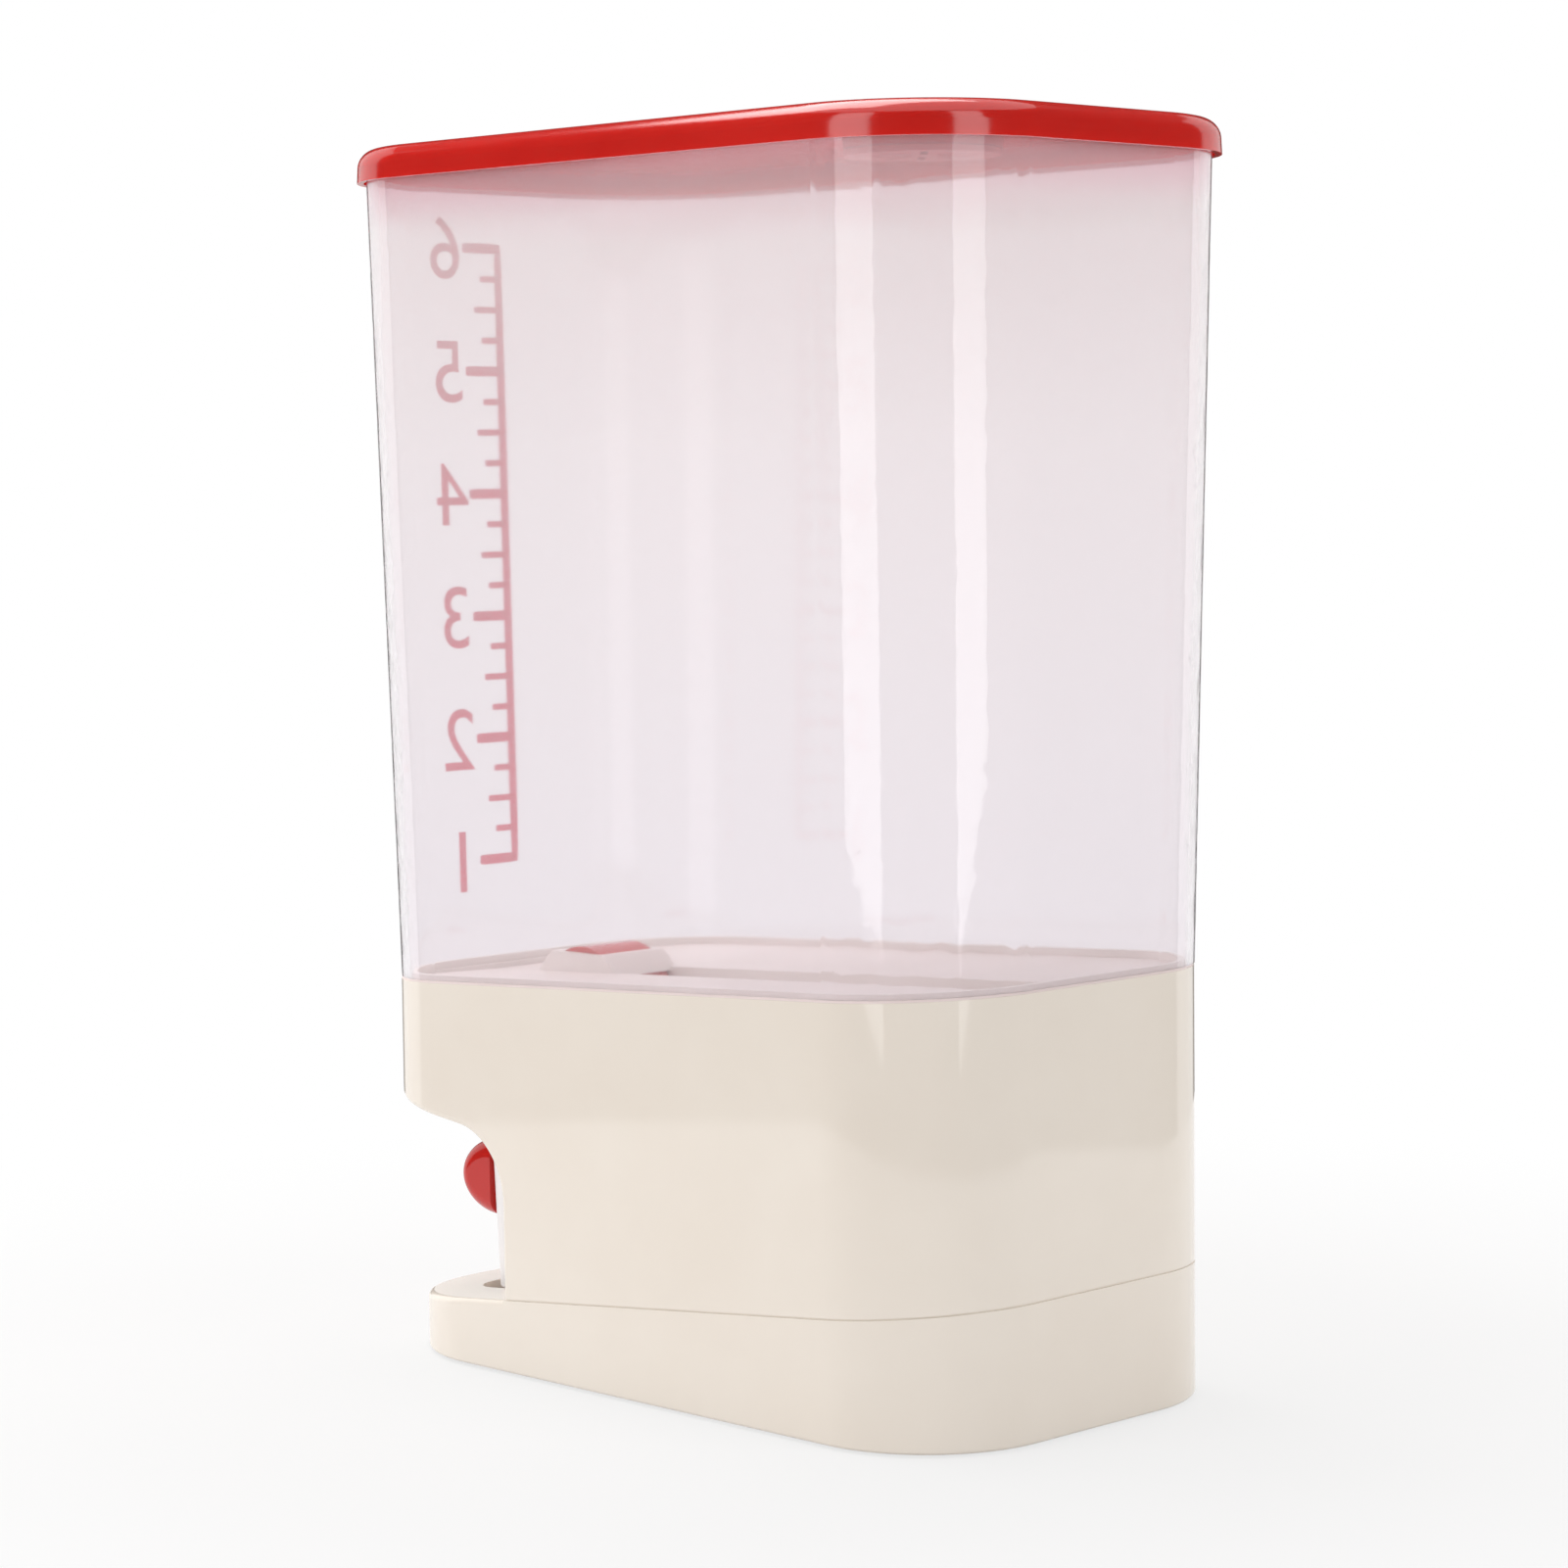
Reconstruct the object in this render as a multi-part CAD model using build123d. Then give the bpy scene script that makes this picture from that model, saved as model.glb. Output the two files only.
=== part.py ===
from build123d import *
import math
import os

# Rice dispenser: a clear hopper with a lift-off lid on a hollow base. A push button on the
# base's front turns a rotary gate under the hopper, and rice drops into a pull-out drawer.
# Millimetres. +Z is up, the front faces -Y, and the origin is under the middle of the base.

# Shared clearances
OVERRUN = 6.0
SLIDE_GAP = 0.3
FIT_GAP = 0.02
SEAT_GAP = 0.25

# Base outline, and the two tilted planes: hopper on base, and base on tray
BODY_WIDTH = 147.1
BODY_DEPTH = 268.6
BODY_CORNER = 44.4
BODY_WALL = 2.8
JOINT_HEIGHT = 129.6
JOINT_TILT = 2.9
PARTING_HEIGHT = 29.8
PARTING_TILT = 5.68
PARTING_GROOVE = 0.5

# Notch under the base's front overhang, seen from the side
NOTCH_DEPTH = 76.9
NOTCH_ARC = 24.6
NOTCH_DROP = 67.8
NOTCH_RISE = 7.0
NOTCH_EDGE_ROUND = 2.0

# Ledge inside the base that carries the hopper floor
LEDGE_WIDTH = 5.0
LEDGE_THICKNESS = 2.5

# Tray under the base
FOOT_LIFT = 0.6
TRAY_SETBACK = 9.3
TRAY_CORNER = 47.0
TRAY_WALL = 2.5
TRAY_ROUND = 2.0
TRAY_FOOT_ROUND = 1.0
RECESS_FLOOR = 16.5
RECESS_SETBACK = 24.0
RECESS_LENGTH = 107.0
RECESS_SIDE = 21.25
RECESS_CORNER = 14.0
PLATE_THICKNESS = 2.4
PLATE_GAP = 0.3
PAD_RADIUS = 7.0
PAD_INSET = 23.55
PAD_FRONT_SETBACK = 33.0
PAD_BACK_SETBACK = 30.3

# Hopper
HOPPER_WALL = 2.4
FLARE_SIDE = 5.55
FLARE_END = 4.95
FLARE_CORNER = 2.0
SEAL_THICKNESS = 0.8
SEAL_INSET = 0.3
HOPPER_TOP = 391.4

# Lid
LID_LAP = 4.4
LID_HEIGHT = 11.0
LID_OVERHANG = 3.1
LID_FLARE = 3.0
LID_WALL = 2.2
LID_CEILING = 2.4
LID_ROUND = 6.5
PLUG_DEPTH = 3.2
PLUG_WALL = 1.6
PLUG_GAP = 0.6
LID_SEAL_THICKNESS = 1.8
LID_RIB_INSET = 0.4

# Desiccant holder under the lid
HOLDER_SETBACK = 74.25
HOLDER_RADIUS = 25.0
HOLDER_WALL = 1.6
HOLDER_DROP = 1.5
CAP_THICKNESS = 2.0
CAP_RIM_WALL = 1.4
CAP_RIM_HEIGHT = 3.0
VENT_COUNT = 8
VENT_WIDTH = 2.2
VENT_INNER = 5.0
VENT_OUTER = 18.0

# Hopper floor: a dished deck with a rim, and a trough that leads to the gate
DECK_THICKNESS = 6.0
DECK_DROP = 9.0
DECK_RIM_RISE = 2.5
DECK_RIM_WALL = 2.0
DISH_DEPTH = 1.8
DISH_INSET = 11.55
TROUGH_HALF_WIDTH = 12.0
TROUGH_WALL = 2.0
TROUGH_SETBACK = 29.3
TROUGH_BACK_DEPTH = 5.0
TROUGH_LIP = 4.0
HOOD_WALL = 1.6
HOOD_DROP = 2.0

# Rotary gate on its axle, in a housing screwed under the deck
GATE_SETBACK = 50.3
GATE_DROP = 13.345
GATE_RADIUS = 20.0
GATE_SLOT = 18.0
GATE_END_WALL = 2.5
HOUSING_WALL = 2.5
AXLE_RADIUS = 2.5
BUSH_RADIUS = 4.5
BUSH_FLANGE = 1.0
BUSH_FLANGE_RADIUS = 5.6
CLIP_RADIUS = 4.2
CLIP_THICKNESS = 1.0
AXLE_END = 1.2
EAR_LENGTH = 10.0
EAR_WIDTH = 10.0
EAR_THICKNESS = 3.0
EAR_OFFSET = 17.0
CHUTE_WALL = 1.5
CHUTE_LENGTH = 12.7

# Rack and pinion between the push button and the gate
MODULE = 1.0
PINION_TEETH = 15
PRESSURE_ANGLE = 20.0
ADDENDUM_SHARE = 0.9
DEDENDUM_SHARE = 1.25
BACKLASH = 0.3
FLANK_STEPS = 4
PINION_WIDTH = 4.8
HUB_RADIUS = 4.6
RACK_SIDE = 20.0
RACK_WIDTH = 4.4
RACK_DEPTH = 7.5
RACK_LEAD_TEETH = 5
RACK_TAIL_TEETH = 1

# Push button on the front band
BUTTON_DROP = 19.9
BUTTON_RADIUS = 11.0
BUTTON_PROUD = 8.0
BUTTON_WALL = 2.2
BUTTON_ROUND = 2.5
BUTTON_POST_RADIUS = 4.0
BEZEL_WALL = 1.8
BEZEL_FLANGE_RADIUS = 14.6
BEZEL_FLANGE = 1.8
BEZEL_REACH = 12.0
BEZEL_ROUND = 0.8
NUT_RADIUS = 15.3
NUT_FLAT_WALL = 0.45
NUT_THICKNESS = 3.0
CARRIER_THICKNESS = 2.5
CARRIER_HALF_HEIGHT = 6.5
CARRIER_MARGIN = 4.5
ROD_RADIUS = 3.0
ROD_TAIL = 22.0
SPRING_WALL = 1.6
SPRING_GAP = 0.3
LUG_THICKNESS = 4.0
LUG_MARGIN = 3.5

# Drawer
DRAWER_BOTTOM = 20.2
CHUTE_GAP = 4.5
DRAWER_SIDE_GAP = 5.3
DRAWER_FRONT_GAP = 3.5
DRAWER_BACK_GAP = 6.0
DRAWER_CORNER = 13.0
DRAWER_DRAFT = 1.9
DRAWER_WALL = 2.0
KEEL_HALF_WIDTH = 12.0
KEEL_END_GAP = 8.0
HANDLE_DROP = 16.5
HANDLE_RADIUS = 13.0
HANDLE_REACH = 17.5
HANDLE_END_GAP = 3.0
HANDLE_END_ROUND = 6.0

# Fasteners
BOSS_RADIUS = 4.5
BOSS_BITE = 0.3
BOSS_HEIGHT = 18.0
BOSS_FRONT_SETBACK = 104.3
BOSS_BACK_SETBACK = 38.3
SEAT_DEPTH = 9.0
TRAY_BOSS_RADIUS = 5.5
SCREW_RADIUS = 1.6
SCREW_HEAD_RADIUS = 3.2
SCREW_HEAD = 2.0
SCREW_BITE = 12.0
HOLE_GAP = 0.3
PLATE_BOSS_RADIUS = 4.0
PLATE_BOSS_INSET = 13.55
PLATE_BOSS_FRONT_SETBACK = 59.0
PLATE_BOSS_BACK_SETBACK = 26.3
PLATE_SCREW_BITE = 8.0
COUNTERBORE = 1.6
SMALL_SCREW_RADIUS = 1.2
SMALL_HEAD_RADIUS = 2.4
SMALL_HEAD = 1.5
DECK_SCREW_BITE = 3.0
CARRIER_SCREW_BITE = 8.0
HANDLE_SCREW_INSET = 21.0
HANDLE_SCREW_BITE = 9.0

# Planes and places worked out from the sizes above
JOINT_SLOPE = math.tan(math.radians(JOINT_TILT))
PARTING_SLOPE = math.tan(math.radians(PARTING_TILT))
JOINT = Plane(origin=(0, 0, JOINT_HEIGHT), x_dir=(1, 0, 0), z_dir=(0, -JOINT_SLOPE, 1))
PARTING = Plane(origin=(0, 0, PARTING_HEIGHT), x_dir=(1, 0, 0), z_dir=(0, -PARTING_SLOPE, 1))
BODY_FRONT = -BODY_DEPTH / 2
BODY_BACK = BODY_DEPTH / 2
FRONT_JOINT = JOINT_HEIGHT + JOINT_SLOPE * BODY_FRONT
NOTCH_BACK = BODY_FRONT + NOTCH_DEPTH
NOTCH_ARC_HEIGHT = FRONT_JOINT - NOTCH_DROP
TRAY_FRONT = BODY_FRONT + TRAY_SETBACK
RECESS_FRONT = TRAY_FRONT + RECESS_SETBACK
RECESS_BACK = RECESS_FRONT + RECESS_LENGTH
RECESS_HALF_WIDTH = BODY_WIDTH / 2 - RECESS_SIDE
PAD_SIDE = BODY_WIDTH / 2 - PAD_INSET
PAD_FRONT = TRAY_FRONT + PAD_FRONT_SETBACK
PAD_BACK = BODY_BACK - PAD_BACK_SETBACK
MOUTH_WIDTH = BODY_WIDTH + 2 * FLARE_SIDE
MOUTH_DEPTH = BODY_DEPTH + 2 * FLARE_END
MOUTH_CORNER = BODY_CORNER + FLARE_CORNER
LID_BOTTOM = HOPPER_TOP - LID_LAP
LID_TOP = LID_BOTTOM + LID_HEIGHT
PLUG_BOTTOM = HOPPER_TOP - PLUG_DEPTH
HOLDER_Y = MOUTH_DEPTH / 2 - HOLDER_SETBACK
HOLDER_BOTTOM = HOPPER_TOP - HOLDER_DROP
DISH_HALF_WIDTH = BODY_WIDTH / 2 - DISH_INSET
TROUGH_BACK = BODY_BACK - TROUGH_SETBACK
GATE_Y = BODY_FRONT + GATE_SETBACK
GATE_Z = JOINT_HEIGHT + JOINT_SLOPE * GATE_Y - GATE_DROP
BUTTON_Z = FRONT_JOINT - BUTTON_DROP
PITCH = math.pi * MODULE
PITCH_RADIUS = MODULE * PINION_TEETH / 2
TIP = MODULE * ADDENDUM_SHARE
ROOT = MODULE * DEDENDUM_SHARE
TRAVEL = PITCH_RADIUS * math.pi / 2
RACK_LINE = GATE_Z - PITCH_RADIUS
BORE_RADIUS = GATE_RADIUS + SLIDE_GAP
HOUSING_HALF_WIDTH = TROUGH_HALF_WIDTH + HOUSING_WALL
HOUSING_REACH = BORE_RADIUS + HOUSING_WALL
HOUSING_BOTTOM = GATE_Z - HOUSING_REACH
CHUTE_BOTTOM = HOUSING_BOTTOM - CHUTE_LENGTH
DRAWER_TOP = CHUTE_BOTTOM - CHUTE_GAP
DRAWER_HALF_WIDTH = RECESS_HALF_WIDTH - DRAWER_SIDE_GAP
DRAWER_FRONT = RECESS_FRONT + DRAWER_FRONT_GAP
DRAWER_BACK = RECESS_BACK - DRAWER_BACK_GAP
HANDLE_Z = DRAWER_TOP - HANDLE_DROP
HANDLE_HALF_LENGTH = DRAWER_HALF_WIDTH - HANDLE_END_GAP
HANDLE_SCREW_X = DRAWER_HALF_WIDTH - HANDLE_SCREW_INSET
BUSH_END = HOUSING_HALF_WIDTH + BUSH_FLANGE
PINION_START = RACK_SIDE - PINION_WIDTH / 2
PINION_END = RACK_SIDE + PINION_WIDTH / 2
TUBE_INNER = BUTTON_RADIUS + SLIDE_GAP
TUBE_OUTER = TUBE_INNER + BEZEL_WALL
TUBE_END = BODY_FRONT + BEZEL_REACH
CARRIER_FRONT = TUBE_END + SLIDE_GAP
CARRIER_BACK = CARRIER_FRONT + CARRIER_THICKNESS
LUG_FRONT = GATE_Y - LUG_THICKNESS / 2
LUG_BACK = GATE_Y + LUG_THICKNESS / 2
PLATE_TOP = FOOT_LIFT + PLATE_THICKNESS
BOSS_X = BODY_WIDTH / 2 - BODY_WALL - BOSS_RADIUS + BOSS_BITE
BOSS_FRONT_Y = BODY_FRONT + BOSS_FRONT_SETBACK
BOSS_BACK_Y = BODY_BACK - BOSS_BACK_SETBACK
PLATE_BOSS_X = BODY_WIDTH / 2 - PLATE_BOSS_INSET
PLATE_BOSS_FRONT_Y = TRAY_FRONT + PLATE_BOSS_FRONT_SETBACK
PLATE_BOSS_BACK_Y = BODY_BACK - PLATE_BOSS_BACK_SETBACK
SCREW_HOLE = SCREW_RADIUS + HOLE_GAP
SMALL_HOLE = SMALL_SCREW_RADIUS + HOLE_GAP
BODY_SCREW_PLACES = [(side * BOSS_X, y) for side in (-1, 1) for y in (BOSS_FRONT_Y, BOSS_BACK_Y)]
PLATE_SCREW_PLACES = [
    (side * PLATE_BOSS_X, y) for side in (-1, 1) for y in (PLATE_BOSS_FRONT_Y, PLATE_BOSS_BACK_Y)
]
EAR_MIDDLE = HOUSING_HALF_WIDTH + EAR_WIDTH / 2
EAR_PLACES = [
    (side * EAR_MIDDLE, GATE_Y + step * EAR_OFFSET) for side in (-1, 1) for step in (-1, 1)
]


def block(x, y, z):
    """A box between two limits on each axis."""
    middle = Pos((x[0] + x[1]) / 2, (y[0] + y[1]) / 2, (z[0] + z[1]) / 2)
    return middle * Box(x[1] - x[0], y[1] - y[0], z[1] - z[0])


def rod_x(radius, x, y, z):
    return Pos((x[0] + x[1]) / 2, y, z) * Rot(0, 90, 0) * Cylinder(radius, x[1] - x[0])


def rod_y(radius, x, y, z):
    return Pos(x, (y[0] + y[1]) / 2, z) * Rot(90, 0, 0) * Cylinder(radius, y[1] - y[0])


def rod_z(radius, x, y, z):
    return Pos(x, y, (z[0] + z[1]) / 2) * Cylinder(radius, z[1] - z[0])


def prism(face, low, high):
    return extrude(Pos(0, 0, low) * face, high - low)


def above(shape, plane):
    return split(shape, bisect_by=plane, keep=Keep.TOP)


def below(shape, plane):
    return split(shape, bisect_by=plane, keep=Keep.BOTTOM)


def joint_height(y):
    return JOINT_HEIGHT + JOINT_SLOPE * y


def parting_height(y):
    return PARTING_HEIGHT + PARTING_SLOPE * y


def body_outline(inset):
    return RectangleRounded(BODY_WIDTH - 2 * inset, BODY_DEPTH - 2 * inset, BODY_CORNER - inset)


def body_prism(inset):
    """The base's outline as a tall prism, pulled in by an inset."""
    return prism(body_outline(inset), 0, HOPPER_TOP)


def body_slab(inset, low, high):
    """The base's outline between two planes parallel to the hopper joint."""
    return above(below(body_prism(inset), JOINT.offset(high)), JOINT.offset(low))


def notch(grow):
    """The full-width notch under the overhang, grown outwards for the wall behind it."""
    centre_y = NOTCH_BACK - NOTCH_ARC
    radius = NOTCH_ARC + grow
    front = BODY_FRONT - OVERRUN
    arc = CenterArc((centre_y, NOTCH_ARC_HEIGHT), radius, 0, 90 - NOTCH_RISE)
    end = arc @ 1
    roof_front = end.Y + (end.X - front) * math.tan(math.radians(NOTCH_RISE))
    wall = Line((centre_y + radius, -OVERRUN), (centre_y + radius, NOTCH_ARC_HEIGHT))
    rest = Polyline(
        (end.X, end.Y),
        (front, roof_front),
        (front, -OVERRUN),
        (centre_y + radius, -OVERRUN),
    )
    return extrude(Plane.YZ * make_face(wall + arc + rest), amount=BODY_WIDTH, both=True)


def button_room():
    """Space behind the front wall that the bezel and its nut need above the button's middle."""
    half = NUT_RADIUS + SLIDE_GAP
    return block((-half, half), (BODY_FRONT + BODY_WALL, TUBE_END), (BUTTON_Z, JOINT_HEIGHT))


def base_housing():
    outer = above(below(body_prism(0), JOINT), PARTING) - notch(0)
    side = BODY_WIDTH / 2 - BODY_CORNER - FIT_GAP
    rim = [
        edge
        for edge in outer.edges()
        if edge.center().Y < NOTCH_BACK + FIT_GAP
        and edge.center().Z < joint_height(BODY_FRONT) - OVERRUN
        and (abs(edge.center().X) > side or edge.center().Y < BODY_FRONT + FIT_GAP)
    ]
    shell = fillet(rim, NOTCH_EDGE_ROUND) - (body_prism(BODY_WALL) - notch(BODY_WALL))
    ledge = body_slab(BODY_WALL - FIT_GAP, -DECK_DROP - LEDGE_THICKNESS, -DECK_DROP)
    shell += ledge - body_prism(BODY_WALL + LEDGE_WIDTH) - button_room()
    for x, y in BODY_SCREW_PLACES:
        foot = parting_height(y)
        shell += above(rod_z(BOSS_RADIUS, x, y, (0, foot + BOSS_HEIGHT)), PARTING)
        shell -= rod_z(SCREW_RADIUS + FIT_GAP, x, y, (0, foot + SCREW_BITE + OVERRUN / 2))
    groove = below(body_prism(-OVERRUN) - body_prism(PARTING_GROOVE), PARTING.offset(PARTING_GROOVE))
    shell -= groove - notch(0)
    window_half = DRAWER_HALF_WIDTH + DRAWER_DRAFT + 3 * SLIDE_GAP
    shell -= block(
        (-window_half, window_half),
        (NOTCH_BACK - NOTCH_ARC, NOTCH_BACK + BODY_WALL + OVERRUN),
        (0, DRAWER_TOP + 3 * SLIDE_GAP),
    )
    shell -= rod_y(
        TUBE_OUTER + FIT_GAP, 0, (BODY_FRONT - OVERRUN, BODY_FRONT + OVERRUN), BUTTON_Z
    )
    chute_x = TROUGH_HALF_WIDTH + CHUTE_WALL + SEAT_GAP
    chute_y = GATE_SLOT / 2 + CHUTE_WALL + SEAT_GAP
    shell -= block(
        (-chute_x, chute_x), (GATE_Y - chute_y, GATE_Y + chute_y), (CHUTE_BOTTOM, HOUSING_BOTTOM)
    )
    return shell


def tray_outline(inset):
    front = TRAY_FRONT + inset
    back = BODY_BACK - inset
    face = Pos(0, (front + back) / 2) * Rectangle(BODY_WIDTH - 2 * inset, back - front)
    face = fillet(face.vertices().group_by(Axis.Y)[0], TRAY_CORNER - inset)
    return fillet(face.vertices().group_by(Axis.Y)[-1], BODY_CORNER - inset)


def tray_recess(grow):
    """The drawer's pocket in the tray, and the keel's groove that leads out to the front."""
    front = RECESS_FRONT - grow
    back = RECESS_BACK + grow
    width = 2 * (RECESS_HALF_WIDTH + grow)
    face = Pos(0, (front + back) / 2) * RectangleRounded(width, back - front, RECESS_CORNER + grow)
    groove_half = KEEL_HALF_WIDTH + 2 * SLIDE_GAP + grow
    low = RECESS_FLOOR - grow
    high = parting_height(BODY_BACK)
    groove = block(
        (-groove_half, groove_half), (TRAY_FRONT - OVERRUN, RECESS_FRONT + RECESS_CORNER), (low, high)
    )
    return prism(face, low, high) + groove


def base_tray():
    solid = below(prism(tray_outline(0), FOOT_LIFT, JOINT_HEIGHT), PARTING)
    solid = fillet(solid.edges().group_by(Axis.Z)[0], TRAY_FOOT_ROUND)
    ahead = block(
        (-BODY_WIDTH, BODY_WIDTH), (TRAY_FRONT - OVERRUN, NOTCH_BACK), (0, JOINT_HEIGHT)
    )
    front = solid & ahead
    lip = [
        edge
        for edge in front.edges()
        if abs(edge.center().Z - parting_height(edge.center().Y)) < FIT_GAP
        and edge.center().Y < NOTCH_BACK - FIT_GAP
    ]
    solid = (solid - ahead) + fillet(lip, TRAY_ROUND)
    hollow = below(
        prism(tray_outline(TRAY_WALL), 0, JOINT_HEIGHT), PARTING.offset(-TRAY_WALL)
    )
    tray = solid - (hollow - tray_recess(TRAY_WALL))
    for x, y in BODY_SCREW_PLACES:
        top = parting_height(y)
        tray += below(rod_z(TRAY_BOSS_RADIUS, x, y, (top - SEAT_DEPTH, top + OVERRUN)), PARTING)
        tray -= rod_z(SCREW_HOLE, x, y, (0, top + OVERRUN))
    for x, y in PLATE_SCREW_PLACES:
        tray += below(rod_z(PLATE_BOSS_RADIUS, x, y, (PLATE_TOP, JOINT_HEIGHT)), PARTING)
        tray -= rod_z(
            SCREW_RADIUS + FIT_GAP, x, y, (0, PLATE_TOP + PLATE_SCREW_BITE + SLIDE_GAP)
        )
    return tray & solid - tray_recess(0)


def bottom_plate():
    plate = prism(tray_outline(TRAY_WALL + PLATE_GAP), FOOT_LIFT, PLATE_TOP)
    for x, y in PLATE_SCREW_PLACES:
        plate -= rod_z(SCREW_HOLE, x, y, (0, PLATE_TOP + OVERRUN))
        plate -= rod_z(SCREW_HEAD_RADIUS + HOLE_GAP, x, y, (0, FOOT_LIFT + COUNTERBORE))
    return plate


def rubber_feet():
    return [
        rod_z(PAD_RADIUS, side * PAD_SIDE, y, (0, FOOT_LIFT))
        for side in (-1, 1)
        for y in (PAD_FRONT, PAD_BACK)
    ]


def hopper_outline(height, inset):
    """The hopper widens evenly from the joint to the lid's lower edge."""
    share = (height - JOINT_HEIGHT) / (LID_BOTTOM - JOINT_HEIGHT)
    width = BODY_WIDTH + (MOUTH_WIDTH - BODY_WIDTH) * share - 2 * inset
    depth = BODY_DEPTH + (MOUTH_DEPTH - BODY_DEPTH) * share - 2 * inset
    corner = BODY_CORNER + (MOUTH_CORNER - BODY_CORNER) * share - inset
    return RectangleRounded(width, depth, corner)


def hopper_form(inset, high):
    low = joint_height(BODY_FRONT) - OVERRUN
    faces = [Pos(0, 0, height) * hopper_outline(height, inset) for height in (low, high)]
    return loft(faces, ruled=True)


def hopper():
    shell = hopper_form(0, HOPPER_TOP) - hopper_form(HOPPER_WALL, HOPPER_TOP + OVERRUN)
    return above(shell, JOINT.offset(SEAL_THICKNESS))


def hopper_seal():
    return body_slab(SEAL_INSET, 0, SEAL_THICKNESS) - body_prism(HOPPER_WALL)


def trough(half_width, grow):
    """Side profile of the trough, from its shallow back end down to the gate."""
    back = TROUGH_BACK + grow
    front = GATE_Y + HOUSING_REACH
    floor_front = GATE_Z + TROUGH_LIP - grow
    floor_back = joint_height(TROUGH_BACK) - TROUGH_BACK_DEPTH - grow
    top = joint_height(BODY_BACK)
    profile = Polyline(
        (back, top), (back, floor_back), (front, floor_front), (front, top), close=True
    )
    return extrude(Plane.YZ * make_face(profile), amount=half_width, both=True)


def gate_hood():
    """The hump over the gate, cut level so that only the gate's crest stands out of it."""
    half = TROUGH_HALF_WIDTH + TROUGH_WALL
    hood = rod_x(BORE_RADIUS + HOOD_WALL, (-half, half), GATE_Y, GATE_Z)
    hood -= block(
        (-half - OVERRUN, half + OVERRUN),
        (GATE_Y - HOUSING_REACH, GATE_Y + HOUSING_REACH),
        (GATE_Z + GATE_RADIUS - HOOD_DROP, GATE_Z + HOUSING_REACH),
    )
    return above(hood, JOINT.offset(-DECK_THICKNESS / 2))


def hopper_floor():
    inset = BODY_WALL + SEAT_GAP
    deck = body_slab(inset, -DECK_DROP, DECK_RIM_RISE)
    deck -= body_slab(inset + DECK_RIM_WALL, 0, DECK_RIM_RISE + OVERRUN)
    deck -= body_slab(inset + DECK_RIM_WALL, -DECK_DROP - OVERRUN, -DECK_THICKNESS)
    dish = Polyline(
        (-DISH_HALF_WIDTH, 0),
        (-TROUGH_HALF_WIDTH, -DISH_DEPTH),
        (TROUGH_HALF_WIDTH, -DISH_DEPTH),
        (DISH_HALF_WIDTH, 0),
        close=True,
    )
    along = Plane(origin=JOINT.origin, x_dir=(1, 0, 0), z_dir=-JOINT.y_dir)
    length = BODY_DEPTH / 2 - BODY_WALL - LEDGE_WIDTH
    deck -= extrude(along * make_face(dish), amount=length, both=True) & body_prism(inset + DECK_RIM_WALL)
    walls = trough(TROUGH_HALF_WIDTH + TROUGH_WALL, TROUGH_WALL)
    deck += below(walls, JOINT.offset(-DECK_THICKNESS + FIT_GAP))
    deck -= trough(TROUGH_HALF_WIDTH, 0)
    deck -= block(
        (-TROUGH_HALF_WIDTH, TROUGH_HALF_WIDTH),
        (GATE_Y, GATE_Y + HOUSING_REACH + OVERRUN),
        (GATE_Z + TROUGH_LIP, joint_height(BODY_BACK)),
    )
    deck += gate_hood()
    deck -= rod_x(BORE_RADIUS, (-TROUGH_HALF_WIDTH, TROUGH_HALF_WIDTH), GATE_Y, GATE_Z)
    deck -= below(button_room(), JOINT.offset(-DECK_THICKNESS))
    pinion_room = PITCH_RADIUS + TIP + 2 * SLIDE_GAP
    deck -= rod_x(
        pinion_room, (BUSH_END, PINION_END + CLIP_THICKNESS + AXLE_END + SLIDE_GAP), GATE_Y, GATE_Z
    )
    for x, y in EAR_PLACES:
        deck -= ear_screw_hole(x, y, SMALL_SCREW_RADIUS + FIT_GAP, -DECK_THICKNESS, DECK_SCREW_BITE)
    return deck


def ear_screw_hole(x, y, radius, low, length):
    """A rod square to the hopper joint, from a level under it."""
    place = Pos(x, y / math.cos(math.radians(JOINT_TILT)), low + length / 2)
    return JOINT.location * place * Cylinder(radius, length)


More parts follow.
